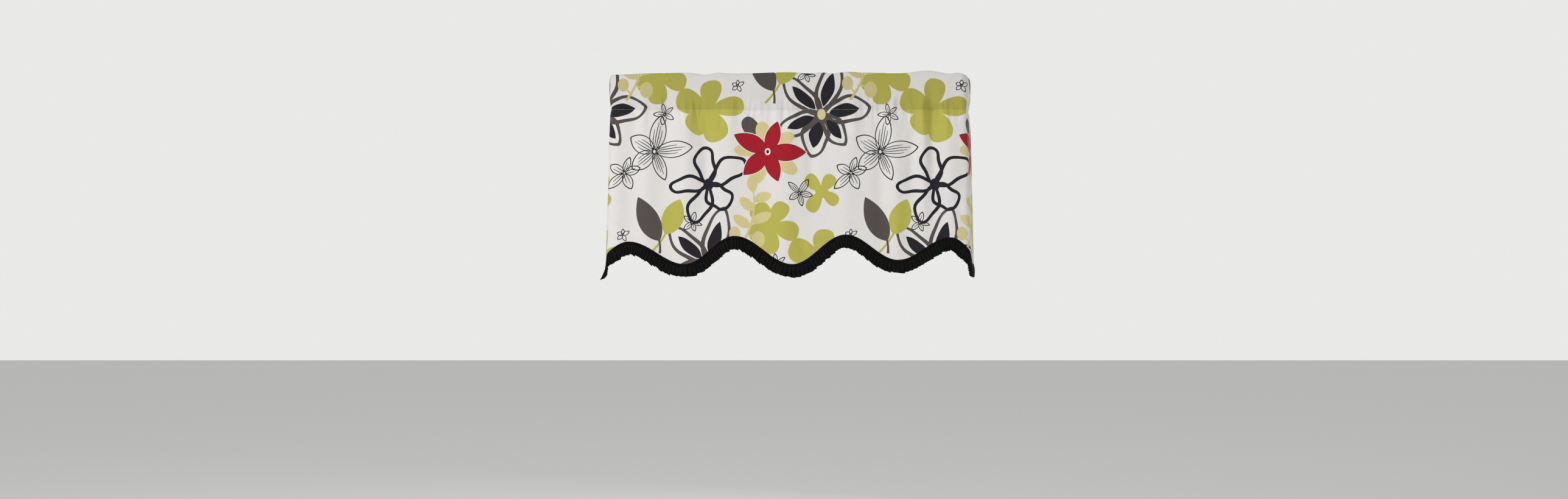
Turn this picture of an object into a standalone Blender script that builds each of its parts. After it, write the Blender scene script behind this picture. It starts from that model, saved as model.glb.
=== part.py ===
"""A window valance: one piece of printed cotton, gathered along a rod pocket, with
its ends wrapped back to the wall and a knife-pleated trim under its scalloped edge.

Metres, +Z up. The front faces -Y, the wall is on the +Y side, and the origin is the
middle of the top edge. A place on the cloth is given by its distance `along` the
hanging line from the middle and its distance `down` from the top edge.
"""
import bisect
import random
from collections import namedtuple
from math import cos, exp, pi, radians, sin, sqrt

import bpy
import bmesh
from mathutils import Vector

# Cloth
THICK = 0.0012                # one layer of cotton
FRONT_HALF = 0.380            # middle of the front to its corner, at the pocket
FRONT_FLARE = 0.010           # each corner moves out by this at the lower edge
CORNER = 0.014                # radius of the corners in plan
RETURN = 0.060                # front corner's end to the back edge, by the wall
SPLAY_TOP = {-1: radians(1.0), 1: radians(11.5)}       # returns lean outwards
SPLAY_LOW = {-1: radians(9.0), 1: radians(12.5)}

# Rod pocket
POCKET = 0.080                # top fold to stitch line
POCKET_FRONT = 0.0035         # front layer stands out by this, over the rod
POCKET_BACK = 0.0085          # back layer stands back by this
POCKET_SHOULDER = 0.28        # share of the pocket's height where it is full,
POCKET_WAIST = 0.58           # and where it starts to close towards the stitches
SEAM_GAP = 0.0003             # layers are this far apart where the stitches draw in
SEAM_LIP = 0.004              # turned edge below the stitches
STITCH_DIP = 0.0012           # stitches pull the cloth in

# Trim
BUTT = 0.0003                 # gap between sewn pieces
PLEAT_BUTT = 0.0006           # the pleats' own steps cut across the band's
BAND_DEEP = 0.0045            # plain band at the head of the trim
BAND_THICK = 0.0024
TRIM_DEEP = 0.028             # band and pleats together
PLEAT_PITCH = 0.0078          # along the seam
PLEAT_THICK = 0.0014
PLEAT_RISE_HEAD = 0.0010      # height of a pleat's fold under the band
PLEAT_RISE_FOOT = 0.0026      # and at its free edge
PLEAT_FOLD = 0.80             # share of the pitch where the fold lies
PLEAT_UNEVEN = 0.10
TRIM_UPRIGHT = 0.35           # pleats turn from square to the edge towards plumb

# Gathers, drawn in along the stitch line
GATHER_PITCH = 0.046
GATHER_REACH_UP = 0.030
GATHER_REACH_DOWN = 0.075

# Mesh
FRONT_STEPS = 70
CORNER_STEPS = 4
RETURN_STEPS = 3
POCKET_LEVELS = (0.04, 0.14, POCKET_SHOULDER, POCKET_WAIST, 1.0)
BODY_LEVELS = (0.0, 0.06, 0.18, 0.36, 0.57, 0.79, 1.0)

# The lower edge of the cloth: each row is a trough or a peak of the scallops.
Scallop = namedtuple("Scallop", "along down")
SCALLOPS = (
    Scallop(-0.432, 0.417),
    Scallop(-0.337, 0.363),
    Scallop(-0.219, 0.411),
    Scallop(-0.114, 0.351),
    Scallop(0.007, 0.411),
    Scallop(0.120, 0.348),
    Scallop(0.230, 0.402),
    Scallop(0.341, 0.354),
    Scallop(0.425, 0.411),
)

# The trim's free edge stands off the hanging line, and leans in at the corners.
Kick = namedtuple("Kick", "along out")
KICKS = (
    Kick(-0.448, 0.0070),
    Kick(-0.395, -0.0020),
    Kick(-0.355, 0.0020),
    Kick(0.355, 0.0020),
    Kick(0.395, -0.0060),
    Kick(0.448, -0.0045),
)

# The top edge lifts and drops where the cloth bunches on the rod.
Crest = namedtuple("Crest", "along rise")
CRESTS = (
    Crest(-0.445, -0.0060),
    Crest(-0.370, -0.0050),
    Crest(-0.285, -0.0020),
    Crest(-0.215, -0.0012),
    Crest(-0.180, -0.0050),
    Crest(-0.150, -0.0012),
    Crest(-0.115, -0.0026),
    Crest(0.000, 0.0000),
    Crest(0.050, -0.0026),
    Crest(0.068, 0.0000),
    Crest(0.092, -0.0026),
    Crest(0.130, 0.0012),
    Crest(0.160, -0.0008),
    Crest(0.234, -0.0022),
    Crest(0.300, 0.0036),
    Crest(0.345, -0.0026),
    Crest(0.362, -0.0010),
    Crest(0.390, -0.0060),
    Crest(0.445, -0.0060),
)

# Soft folds: ridges stand out, troughs (negative) stand in. Each is strongest from
# `start` to `end`, measured down from the top edge, and dies away beyond them.
Fold = namedtuple("Fold", "along width out start end")
FOLDS = (
    Fold(-0.360, 0.016, 0.0030, 0.10, 0.42),
    Fold(-0.300, 0.022, 0.0042, 0.10, 0.42),
    Fold(-0.262, 0.012, -0.0036, 0.07, 0.15),
    Fold(-0.218, 0.020, 0.0050, 0.12, 0.42),
    Fold(-0.175, 0.014, -0.0056, 0.07, 0.22),
    Fold(-0.130, 0.022, 0.0032, 0.08, 0.42),
    Fold(-0.060, 0.020, -0.0030, 0.12, 0.42),
    Fold(-0.008, 0.026, 0.0056, 0.16, 0.42),
    Fold(0.048, 0.014, -0.0050, 0.07, 0.24),
    Fold(0.120, 0.024, 0.0040, 0.09, 0.42),
    Fold(0.195, 0.015, -0.0050, 0.07, 0.30),
    Fold(0.228, 0.016, 0.0046, 0.10, 0.42),
    Fold(0.261, 0.011, -0.0050, 0.07, 0.20),
    Fold(0.285, 0.012, 0.0042, 0.08, 0.30),
    Fold(0.308, 0.011, -0.0048, 0.07, 0.20),
    Fold(0.343, 0.016, 0.0044, 0.10, 0.42),
    Fold(0.372, 0.009, -0.0022, 0.08, 0.20),
)
FOLD_FADE = 0.055

# How deep the gathers are, along the stitch line.
Gather = namedtuple("Gather", "along out")
GATHERS = (
    Gather(-0.445, 0.0006),
    Gather(-0.330, 0.0008),
    Gather(-0.230, 0.0018),
    Gather(-0.100, 0.0012),
    Gather(0.040, 0.0020),
    Gather(0.200, 0.0026),
    Gather(0.330, 0.0024),
    Gather(0.445, 0.0008),
)

HALF_LENGTH = FRONT_HALF - CORNER + CORNER * pi / 2 + RETURN
LOWEST = max(row.down for row in SCALLOPS)


def clear_scene():
    for old in list(bpy.data.objects):
        bpy.data.objects.remove(old, do_unlink=True)


def eased(rows, along):
    """Second column of a table at `along`, easing from each row to the next."""
    if along <= rows[0][0]:
        return rows[0][1]
    for low, high in zip(rows, rows[1:]):
        if along <= high[0]:
            share = (along - low[0]) / (high[0] - low[0])
            return low[1] + (high[1] - low[1]) * (1 - cos(pi * share)) / 2
    return rows[-1][1]


def corner_half(down):
    """Middle of the front to its corner: straight at the pocket, flaring below it."""
    below = max(0.0, down - POCKET) / (LOWEST - POCKET)
    return FRONT_HALF + FRONT_FLARE * below ** 0.6


def splay(side, down):
    share = min(1.0, max(0.0, down / LOWEST))
    return SPLAY_TOP[side] + (SPLAY_LOW[side] - SPLAY_TOP[side]) * share


def plan(along, down):
    """Point of the hanging line and its outward normal, both level."""
    side = -1 if along < 0 else 1
    straight = corner_half(down) - CORNER
    turn = pi / 2 - splay(side, down)
    length = straight + CORNER * turn + RETURN
    run = abs(along) * length / HALF_LENGTH
    angle = min(turn, max(0.0, (run - straight) / CORNER))
    rest = max(0.0, run - straight - CORNER * turn)
    x = min(run, straight) + CORNER * sin(angle) + rest * cos(angle)
    y = CORNER * (1 - cos(angle)) + rest * sin(angle)
    return Vector((side * x, y, 0)), Vector((side * sin(angle), -cos(angle), 0))


def ease_off(distance, reach):
    return exp(-(max(0.0, distance) / reach) ** 2)


def folds_out(along, down):
    total = 0.0
    for fold in FOLDS:
        shape = exp(-((along - fold.along) / fold.width) ** 2)
        above = ease_off(fold.start - down, FOLD_FADE)
        below = ease_off(down - fold.end, FOLD_FADE)
        total += fold.out * shape * above * below
    return total


def gathers_out(along, down):
    turns = along / GATHER_PITCH + 0.30 * sin(along / 0.051) + 0.16 * sin(along / 0.023 + 1.0)
    reach = GATHER_REACH_UP if down < POCKET else GATHER_REACH_DOWN
    return eased(GATHERS, along) * sin(2 * pi * turns) * ease_off(abs(down - POCKET), reach)


def relief(along, down):
    """How far the front layer's inner face stands out from the hanging line."""
    pocket_share = min(1.0, down / POCKET)
    dip = STITCH_DIP * ease_off(abs(down - POCKET), 0.006)
    return folds_out(along, down) * pocket_share ** 3 + gathers_out(along, down) - dip


def pocket_swell(share):
    """The pocket's section: rounded over the top, drawn in at the stitch line."""
    if share < POCKET_SHOULDER:
        return sqrt(1 - ((POCKET_SHOULDER - share) / POCKET_SHOULDER) ** 2)
    closing = max(0.0, share - POCKET_WAIST) / (1 - POCKET_WAIST)
    return (1 + cos(pi * closing)) / 2


def place(along, down, out):
    """The point at a place on the cloth, standing `out` from the hanging line."""
    point, normal = plan(along, down)
    rise = eased(CRESTS, along) * max(0.0, 1 - down / POCKET)
    return point + normal * out + Vector((0, 0, rise - down))


def stations():
    """Places along the hanging line, closer together round the corners."""
    straight = FRONT_HALF - CORNER
    arc = CORNER * pi / 2
    half = [straight * step * 2 / FRONT_STEPS for step in range(FRONT_STEPS // 2)]
    half += [straight + arc * step / CORNER_STEPS for step in range(CORNER_STEPS)]
    half += [straight + arc + RETURN * step / RETURN_STEPS for step in range(RETURN_STEPS + 1)]
    return [-value for value in reversed(half[1:])] + half


def cloth_section(along):
    """Outer ring and pocket ring of the cloth's section at one station."""
    edge = eased(SCALLOPS, along)
    body = [POCKET + (edge - POCKET) * level for level in BODY_LEVELS]
    pocket = [POCKET * level for level in POCKET_LEVELS]
    front_in = [POCKET_FRONT * pocket_swell(level) for level in POCKET_LEVELS]
    back_in = [-SEAM_GAP - POCKET_BACK * pocket_swell(level) for level in POCKET_LEVELS]
    base = [relief(along, down) for down in pocket]

    outer = [place(along, down, relief(along, down) + THICK) for down in reversed(body[1:])]
    for down, out, lift in reversed(list(zip(pocket, front_in, base))):
        outer.append(place(along, down, lift + out + THICK))
    outer.append(place(along, 0.0, 0.0))
    for down, out, lift in zip(pocket, back_in, base):
        outer.append(place(along, down, lift + out - THICK))
    lip = POCKET + SEAM_LIP
    outer.append(place(along, lip, relief(along, lip) - SEAM_GAP - THICK))
    outer += [place(along, down, relief(along, down)) for down in body[1:]]

    inner = [place(along, down, lift + out) for down, out, lift in zip(pocket, front_in, base)]
    inner.reverse()
    inner.append(place(along, THICK, 0.0))
    inner += [place(along, down, lift + out) for down, out, lift in zip(pocket, back_in, base)]
    return outer, inner


def ring_faces(mesh, rings):
    """Join closed rings, station by station, with a band of quads."""
    count = len(rings[0])
    for first, second in zip(rings, rings[1:]):
        for here in range(count):
            after = (here + 1) % count
            mesh.faces.new((first[here], first[after], second[after], second[here]))


def cap_cloth(mesh, outer, inner):
    """Close an end of the cloth: the layers of the pocket, then the body."""
    body = len(BODY_LEVELS) - 1
    layers = len(inner)
    quads = []
    for step in range(layers - 1):
        quads.append([outer[body + step], outer[body + step + 1], inner[step + 1], inner[step]])
    quads.append([outer[body], inner[0], inner[-1], outer[body + layers - 1]])
    low = body + layers
    quads.append([outer[body - 1], outer[body], outer[low - 1], outer[low], outer[low + 1]])
    for step in range(1, body):
        quads.append([outer[step - 1], outer[step], outer[-step - 1], outer[-step]])
    for quad in quads:
        mesh.faces.new(quad)


def add_object(name, mesh, material):
    bmesh.ops.recalc_face_normals(mesh, faces=mesh.faces[:])
    bmesh.ops.triangulate(mesh, faces=[face for face in mesh.faces if len(face.verts) > 4])
    data = bpy.data.meshes.new(name)
    mesh.to_mesh(data)
    mesh.free()
    data.shade_smooth()
    data.set_sharp_from_angle(angle=radians(40))
    data.materials.append(material)
    made = bpy.data.objects.new(name, data)
    bpy.context.scene.collection.objects.link(made)
    return made


def add_material(name, colour, roughness):
    material = bpy.data.materials.new(name)
    material.use_nodes = True
    shader = material.node_tree.nodes["Principled BSDF"]
    shader.inputs["Base Color"].default_value = (*colour, 1)
    shader.inputs["Roughness"].default_value = roughness
    shader.inputs["Metallic"].default_value = 0.0
    return material


def build_cloth(material):
    mesh = bmesh.new()
    outer_rings = []
    inner_rings = []
    for along in stations():
        outer, inner = cloth_section(along)
        outer_rings.append([mesh.verts.new(point) for point in outer])
        inner_rings.append([mesh.verts.new(point) for point in inner])
    ring_faces(mesh, outer_rings)
    ring_faces(mesh, inner_rings)
    cap_cloth(mesh, outer_rings[0], inner_rings[0])
    cap_cloth(mesh, outer_rings[-1], inner_rings[-1])
    return add_object("valance_cloth", mesh, material)


def trim_point(along, drop, out):
    """A point of the trim, `drop` below the cloth's lower edge."""
    edge = eased(SCALLOPS, along)
    step = 0.001
    start = place(along - step, eased(SCALLOPS, along - step), 0.0)
    end = place(along + step, eased(SCALLOPS, along + step), 0.0)
    normal = plan(along, edge)[1]
    square = normal.cross(end - start).normalized()
    if square.z > 0:
        square.negate()
    fall = (square * (1 - TRIM_UPRIGHT) + Vector((0, 0, -TRIM_UPRIGHT))).normalized()
    kick = eased(KICKS, along) * (drop / TRIM_DEEP) ** 2
    lift = relief(along, edge) + THICK / 2 + out + kick
    return place(along, edge, lift) + fall * drop


def strip(name, places, material):
    """A strip of the trim from rows of (along, head, foot, out at head, at foot, thick)."""
    mesh = bmesh.new()
    rings = []
    for along, head, foot, out_head, out_foot, thick in places:
        ring = (
            trim_point(along, foot, out_foot + thick / 2),
            trim_point(along, head, out_head + thick / 2),
            trim_point(along, head, out_head - thick / 2),
            trim_point(along, foot, out_foot - thick / 2),
        )
        rings.append([mesh.verts.new(point) for point in ring])
    ring_faces(mesh, rings)
    mesh.faces.new(rings[0])
    mesh.faces.new(rings[-1])
    return add_object(name, mesh, material)


def build_band(material):
    ends = stations()
    places = [(along, BUTT, BAND_DEEP, 0.0, 0.0, BAND_THICK) for along in ends]
    return strip("trim_band", places, material)


def edge_run():
    """Distance run along the scalloped edge, and the place along at each of its steps."""
    steps = 900
    runs = [0.0]
    places = [-HALF_LENGTH]
    last = place(-HALF_LENGTH, eased(SCALLOPS, -HALF_LENGTH), 0.0)
    for step in range(1, steps + 1):
        along = HALF_LENGTH * (2 * step / steps - 1)
        point = place(along, eased(SCALLOPS, along), 0.0)
        runs.append(runs[-1] + (point - last).length)
        places.append(along)
        last = point
    return runs, places


def at_run(runs, places, run):
    after = min(len(runs) - 1, max(1, bisect.bisect(runs, run)))
    share = (run - runs[after - 1]) / (runs[after] - runs[after - 1])
    return places[after - 1] + (places[after] - places[after - 1]) * share


def build_pleats(material):
    """Knife pleats: each lies back, rises to its fold and tucks under the next."""
    runs, places = edge_run()
    count = round(runs[-1] / PLEAT_PITCH)
    pitch = runs[-1] / count
    chance = random.Random(7)
    head = BAND_DEEP + PLEAT_BUTT
    rows = []
    for pleat in range(count):
        shift = chance.uniform(-PLEAT_UNEVEN, PLEAT_UNEVEN) * pitch if pleat else 0.0
        length = TRIM_DEEP * (1 + chance.uniform(-1, 1) * PLEAT_UNEVEN / 4)
        low = at_run(runs, places, pleat * pitch + shift)
        fold = at_run(runs, places, (pleat + PLEAT_FOLD) * pitch + shift)
        rows.append((low, head, length, 0.0, 0.0, PLEAT_THICK))
        rows.append((fold, head, length, PLEAT_RISE_HEAD, PLEAT_RISE_FOOT, PLEAT_THICK))
    rows.append((HALF_LENGTH, head, TRIM_DEEP, 0.0, 0.0, PLEAT_THICK))
    return strip("pleated_trim", rows, material)


def main():
    clear_scene()
    cotton = add_material("printed_cotton", (0.74, 0.72, 0.68), 0.85)
    black_band = add_material("black_band", (0.010, 0.010, 0.012), 0.80)
    black_pleats = add_material("black_pleats", (0.008, 0.008, 0.010), 0.85)
    build_cloth(cotton)
    build_band(black_band)
    build_pleats(black_pleats)


main()
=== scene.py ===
"""A window valance of printed cotton: one cloth gathered on a rod pocket, its ends
wrapped back to the wall, with a knife-pleated black trim under its scalloped edge.

Metres, +Z up, front towards -Y. A place on the cloth is its distance `along` the
hanging line from the middle and its distance `down` from the top fold. On the back
layer of the pocket, `down` counts backwards from the fold and is negative.
"""

import random
from collections import namedtuple
from math import cos, hypot, pi, radians, sin

import bpy
import numpy as np
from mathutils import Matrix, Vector
from mathutils.geometry import delaunay_2d_cdt


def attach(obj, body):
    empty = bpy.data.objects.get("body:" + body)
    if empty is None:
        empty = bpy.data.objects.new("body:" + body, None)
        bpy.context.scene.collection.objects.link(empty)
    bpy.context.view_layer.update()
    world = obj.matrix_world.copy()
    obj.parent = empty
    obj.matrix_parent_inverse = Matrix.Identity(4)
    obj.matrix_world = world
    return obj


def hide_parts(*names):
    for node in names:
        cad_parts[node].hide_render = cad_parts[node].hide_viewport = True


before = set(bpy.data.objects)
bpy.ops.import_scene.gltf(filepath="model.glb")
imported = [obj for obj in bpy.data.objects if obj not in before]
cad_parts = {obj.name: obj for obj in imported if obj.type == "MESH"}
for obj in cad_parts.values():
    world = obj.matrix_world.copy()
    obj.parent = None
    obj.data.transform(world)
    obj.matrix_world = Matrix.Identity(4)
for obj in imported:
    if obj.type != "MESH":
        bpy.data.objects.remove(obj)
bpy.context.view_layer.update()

MM = 0.001

# ---- the hanging form, as the solids have it --------------------------------------
THICK = 0.0012
FRONT_HALF = 0.380
FRONT_FLARE = 0.010
CORNER = 0.014
RETURN = 0.060
SPLAY_TOP = (radians(1.0), radians(11.5))        # left return, right return
SPLAY_LOW = (radians(9.0), radians(12.5))

POCKET = 0.080
POCKET_FRONT = 0.0035
POCKET_BACK = 0.0085
POCKET_SHOULDER = 0.28
POCKET_WAIST = 0.58
SEAM_GAP = 0.0003
SEAM_LIP = 0.004
STITCH_DIP = 0.0012
STITCH_DIP_REACH = 0.006

BAND_DEEP = 0.0045
BAND_THICK = 0.0026
BAND_LAP = 0.0012             # the band wraps the cut edge of the cloth by this
TRIM_DEEP = 0.028
PLEAT_PITCH = 0.0078
TRIM_UPRIGHT = 0.35

GATHER_PITCH = 0.046
GATHER_REACH_UP = 0.030
GATHER_REACH_DOWN = 0.075
FOLD_FADE = 0.055

Scallop = namedtuple("Scallop", "along down")
SCALLOPS = (
    Scallop(-0.432, 0.417),
    Scallop(-0.337, 0.363),
    Scallop(-0.219, 0.411),
    Scallop(-0.114, 0.351),
    Scallop(0.007, 0.411),
    Scallop(0.120, 0.348),
    Scallop(0.230, 0.402),
    Scallop(0.341, 0.354),
    Scallop(0.425, 0.411),
)

# How far the trim's free edge is kicked out from the hanging line, or in if negative.
Kick = namedtuple("Kick", "along out")
KICKS = (
    Kick(-0.448, 0.0070),
    Kick(-0.395, -0.0020),
    Kick(-0.355, 0.0020),
    Kick(0.355, 0.0020),
    Kick(0.395, -0.0060),
    Kick(0.448, -0.0045),
)

Crest = namedtuple("Crest", "along rise")
CRESTS = (
    Crest(-0.445, -0.0060),
    Crest(-0.370, -0.0050),
    Crest(-0.285, -0.0020),
    Crest(-0.215, -0.0012),
    Crest(-0.180, -0.0050),
    Crest(-0.150, -0.0012),
    Crest(-0.115, -0.0026),
    Crest(0.000, 0.0000),
    Crest(0.050, -0.0026),
    Crest(0.068, 0.0000),
    Crest(0.092, -0.0026),
    Crest(0.130, 0.0012),
    Crest(0.160, -0.0008),
    Crest(0.234, -0.0022),
    Crest(0.300, 0.0036),
    Crest(0.345, -0.0026),
    Crest(0.362, -0.0010),
    Crest(0.390, -0.0060),
    Crest(0.445, -0.0060),
)

Fold = namedtuple("Fold", "along width out start end")
FOLDS = (
    Fold(-0.360, 0.016, 0.0030, 0.10, 0.42),
    Fold(-0.300, 0.022, 0.0042, 0.10, 0.42),
    Fold(-0.262, 0.012, -0.0036, 0.07, 0.15),
    Fold(-0.218, 0.020, 0.0050, 0.12, 0.42),
    Fold(-0.175, 0.014, -0.0056, 0.07, 0.22),
    Fold(-0.130, 0.022, 0.0032, 0.08, 0.42),
    Fold(-0.060, 0.020, -0.0030, 0.12, 0.42),
    Fold(-0.008, 0.026, 0.0056, 0.16, 0.42),
    Fold(0.048, 0.014, -0.0050, 0.07, 0.24),
    Fold(0.120, 0.024, 0.0040, 0.09, 0.42),
    Fold(0.195, 0.015, -0.0050, 0.07, 0.30),
    Fold(0.228, 0.016, 0.0046, 0.10, 0.42),
    Fold(0.261, 0.011, -0.0050, 0.07, 0.20),
    Fold(0.285, 0.012, 0.0042, 0.08, 0.30),
    Fold(0.308, 0.011, -0.0048, 0.07, 0.20),
    Fold(0.343, 0.016, 0.0044, 0.10, 0.42),
    Fold(0.372, 0.009, -0.0022, 0.08, 0.20),
)

Gather = namedtuple("Gather", "along out")
GATHERS = (
    Gather(-0.445, 0.0006),
    Gather(-0.330, 0.0008),
    Gather(-0.230, 0.0018),
    Gather(-0.100, 0.0012),
    Gather(0.040, 0.0020),
    Gather(0.200, 0.0026),
    Gather(0.330, 0.0024),
    Gather(0.445, 0.0008),
)

HALF_LENGTH = FRONT_HALF - CORNER + CORNER * pi / 2 + RETURN
LOWEST = max(row.down for row in SCALLOPS)

# ---- finer shape, which only the visible cloth has --------------------------------
# Small puckers drawn in by the stitches: how far they stand out along the line.
Pucker = namedtuple("Pucker", "along width out up low lean")
PUCKER_DEPTH = (
    Gather(-0.445, 0.0004),
    Gather(-0.330, 0.0005),
    Gather(-0.220, 0.0016),
    Gather(-0.080, 0.0014),
    Gather(0.060, 0.0018),
    Gather(0.180, 0.0026),
    Gather(0.330, 0.0026),
    Gather(0.445, 0.0006),
)

PUCKER_WIDTH = (0.0030, 0.0060)    # the least and the greatest
PUCKER_UP = (0.010, 0.030)         # reach above the stitches
PUCKER_LOW = (0.016, 0.060)        # and below them
PUCKER_LEAN = 0.22
PUCKER_APART = (0.006, 0.016)
PUCKER_STEEPEST = 0.46             # greatest height for its width
PUCKER_HEART = 0.003               # full height up to this far from the stitches

# Single creases, each from one place on the cloth to another.
Crease = namedtuple("Crease", "along down to_along to_down width out")
CREASES = (
    Crease(-0.372, 0.056, -0.318, 0.082, 0.0050, 0.0016),
    Crease(-0.366, 0.066, -0.322, 0.092, 0.0040, -0.0012),
    Crease(-0.392, 0.315, -0.345, 0.338, 0.0060, 0.0015),
    Crease(-0.398, 0.335, -0.352, 0.352, 0.0050, -0.0014),
    Crease(-0.240, 0.330, -0.196, 0.392, 0.0070, 0.0012),
    Crease(0.010, 0.310, 0.036, 0.398, 0.0070, -0.0012),
    Crease(0.214, 0.300, 0.250, 0.388, 0.0070, 0.0013),
    Crease(0.352, 0.250, 0.376, 0.352, 0.0060, -0.0012),
)
WAVE_HEIGHT = 0.00022         # of the cloth's own slight waviness
FINE_FROM_TOP = 0.012         # the fine shape fades in over this, below the top fold
SKIN_FROM_TOP = 0.004         # and so does the cloth's thickness
SHEET = 0.0009                # one layer of cotton, as seen

# The cloth's mesh, in millimetres.
BODY_MESH = 6.4               # spacing of its points,
STITCH_MESH = 2.3             # and near the stitches
STITCH_ZONE = (56.0, 112.0)
BACK_ZONE = (-84.0, -60.0)
FOLD_MESH = 0.9               # closest rows, at the top fold,
FOLD_MESH_GROWTH = 0.55       # and how fast they open away from it
ROW_SHARE = 0.9               # rows lie a little closer than the points along them
HEM_STEPS = 260
TURNED_EDGE_STEPS = 390
CLEAR_OF_EDGE = 1.4
WELD = 0.06


def eased(rows, along):
    """Second column of a table at `along`, easing from each row to the next."""
    places, values = np.array(rows).T
    high = np.clip(np.searchsorted(places, along), 1, len(places) - 1)
    low = high - 1
    share = np.clip((along - places[low]) / (places[high] - places[low]), 0, 1)
    return values[low] + (values[high] - values[low]) * (1 - np.cos(pi * share)) / 2


def ease_off(distance, reach):
    return np.exp(-(np.maximum(0.0, distance) / reach) ** 2)


def plan(along, down):
    """Points of the hanging line and its outward normals, all level."""
    side = np.where(along < 0, -1.0, 1.0)
    below = np.maximum(0.0, down - POCKET) / (LOWEST - POCKET)
    straight = FRONT_HALF + FRONT_FLARE * below ** 0.6 - CORNER
    share = np.clip(down / LOWEST, 0, 1)
    top = np.where(side < 0, *SPLAY_TOP)
    low = np.where(side < 0, *SPLAY_LOW)
    turn = pi / 2 - (top + (low - top) * share)
    length = straight + CORNER * turn + RETURN
    run = np.abs(along) * length / HALF_LENGTH
    angle = np.clip((run - straight) / CORNER, 0, turn)
    rest = np.maximum(0.0, run - straight - CORNER * turn)
    x = side * (np.minimum(run, straight) + CORNER * np.sin(angle) + rest * np.cos(angle))
    y = CORNER * (1 - np.cos(angle)) + rest * np.sin(angle)
    level = np.zeros_like(x)
    normal = np.stack([side * np.sin(angle), -np.cos(angle), level], axis=-1)
    return np.stack([x, y, level], axis=-1), normal


def folds_out(along, down):
    total = np.zeros_like(along)
    for fold in FOLDS:
        shape = np.exp(-((along - fold.along) / fold.width) ** 2)
        ends = ease_off(fold.start - down, FOLD_FADE) * ease_off(down - fold.end, FOLD_FADE)
        total += fold.out * shape * ends
    return total


def gathers_out(along, down):
    turns = along / GATHER_PITCH + 0.30 * np.sin(along / 0.051) + 0.16 * np.sin(along / 0.023 + 1)
    reach = np.where(down < POCKET, GATHER_REACH_UP, GATHER_REACH_DOWN)
    depth = eased(GATHERS, along) * np.sin(2 * pi * turns)
    return depth * ease_off(np.abs(down - POCKET), reach)


def relief(along, down):
    """How far the front layer's inner face stands out from the hanging line."""
    pocket_share = np.clip(down / POCKET, 0, 1)
    dip = STITCH_DIP * ease_off(np.abs(down - POCKET), STITCH_DIP_REACH)
    return folds_out(along, down) * pocket_share ** 3 + gathers_out(along, down) - dip


def pocket_swell(share):
    """The pocket's section: rounded over the top, drawn in at the stitch line."""
    crown = np.sqrt(1 - (np.clip(1 - share / POCKET_SHOULDER, 0, 1)) ** 2)
    closing = np.clip((share - POCKET_WAIST) / (1 - POCKET_WAIST), 0, 1)
    return np.where(share < POCKET_SHOULDER, crown, (1 + np.cos(pi * closing)) / 2)


def place(along, down, out):
    """Points at places on the cloth, standing `out` from the hanging line."""
    point, normal = plan(along, down)
    rise = eased(CRESTS, along) * np.maximum(0.0, 1 - down / POCKET)
    found = point + normal * np.asarray(out)[..., None]
    found[..., 2] += rise - down
    return found


def draw_puckers():
    """Puckers in an uneven row from end to end of the stitch line."""
    chance = random.Random(12)
    along = 0.012 - HALF_LENGTH
    rows = []
    while along < HALF_LENGTH - 0.010:
        depth = float(eased(PUCKER_DEPTH, along)) * chance.uniform(0.35, 1.0)
        width = chance.uniform(*PUCKER_WIDTH)
        out = min(depth, PUCKER_STEEPEST * width) * chance.choice((-1, 1, 1))
        rows.append(Pucker(along, width, out,
                           chance.uniform(*PUCKER_UP), chance.uniform(*PUCKER_LOW),
                           chance.uniform(-PUCKER_LEAN, PUCKER_LEAN)))
        along += chance.uniform(*PUCKER_APART)
    return rows


PUCKERS = draw_puckers()


def fine_out(along, down):
    """Puckers, creases and the cloth's own slight waviness."""
    total = np.zeros_like(along)
    for row in PUCKERS:
        shape = np.exp(-((along - row.along - row.lean * (down - POCKET)) / row.width) ** 2)
        reach = np.where(down < POCKET, row.up, row.low)
        total += row.out * shape * ease_off(np.abs(down - POCKET) - PUCKER_HEART, reach)
    for row in CREASES:
        run = np.array([row.to_along - row.along, row.to_down - row.down])
        share = ((along - row.along) * run[0] + (down - row.down) * run[1]) / (run @ run)
        held = np.clip(share, 0, 1)
        off = np.hypot(along - row.along - held * run[0], down - row.down - held * run[1])
        total += row.out * np.exp(-(off / row.width) ** 2) * np.sin(pi * (0.15 + 0.7 * held))
    wave = np.sin(along / 0.0130 + 1.4 * np.sin(down / 0.047))
    wave += np.sin(down / 0.0210 + along / 0.0330 + 1.1 * np.sin(along / 0.029))
    return total + WAVE_HEIGHT * wave


def cloth_surface(along, down):
    """The print side of the cloth, down the front and, above the fold, down the back."""
    depth = np.abs(down)
    swell = pocket_swell(np.clip(depth / POCKET, 0, 1))
    lift = relief(along, depth)
    near_top = np.clip(depth / FINE_FROM_TOP, 0, 1)
    fine = fine_out(along, depth)
    skin = THICK * np.clip(depth / SKIN_FROM_TOP, 0, 1)
    front = lift + POCKET_FRONT * swell + skin + fine * near_top
    gap = SEAM_GAP / THICK * skin
    back = lift - POCKET_BACK * swell - gap - skin + fine * near_top
    front = np.where(depth >= POCKET, lift + THICK + fine, front)
    return place(along, depth, np.where(down < 0, back, front))


def cloth_normals(along, down):
    """Which way the print side faces."""
    step = 0.0004
    ahead = cloth_surface(along + step, down) - cloth_surface(along - step, down)
    below = cloth_surface(along, down + step) - cloth_surface(along, down - step)
    normal = np.cross(below, ahead)
    return normal / np.linalg.norm(normal, axis=1, keepdims=True)


# ---- the printed design ----------------------------------------------------------
# Millimetres on the flat cloth, x along and y down. Turns are clockwise from upright.
Petal = namedtuple("Petal", "turn length width belly tip bend")
Shape = namedtuple("Shape", "ink outline")


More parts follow.
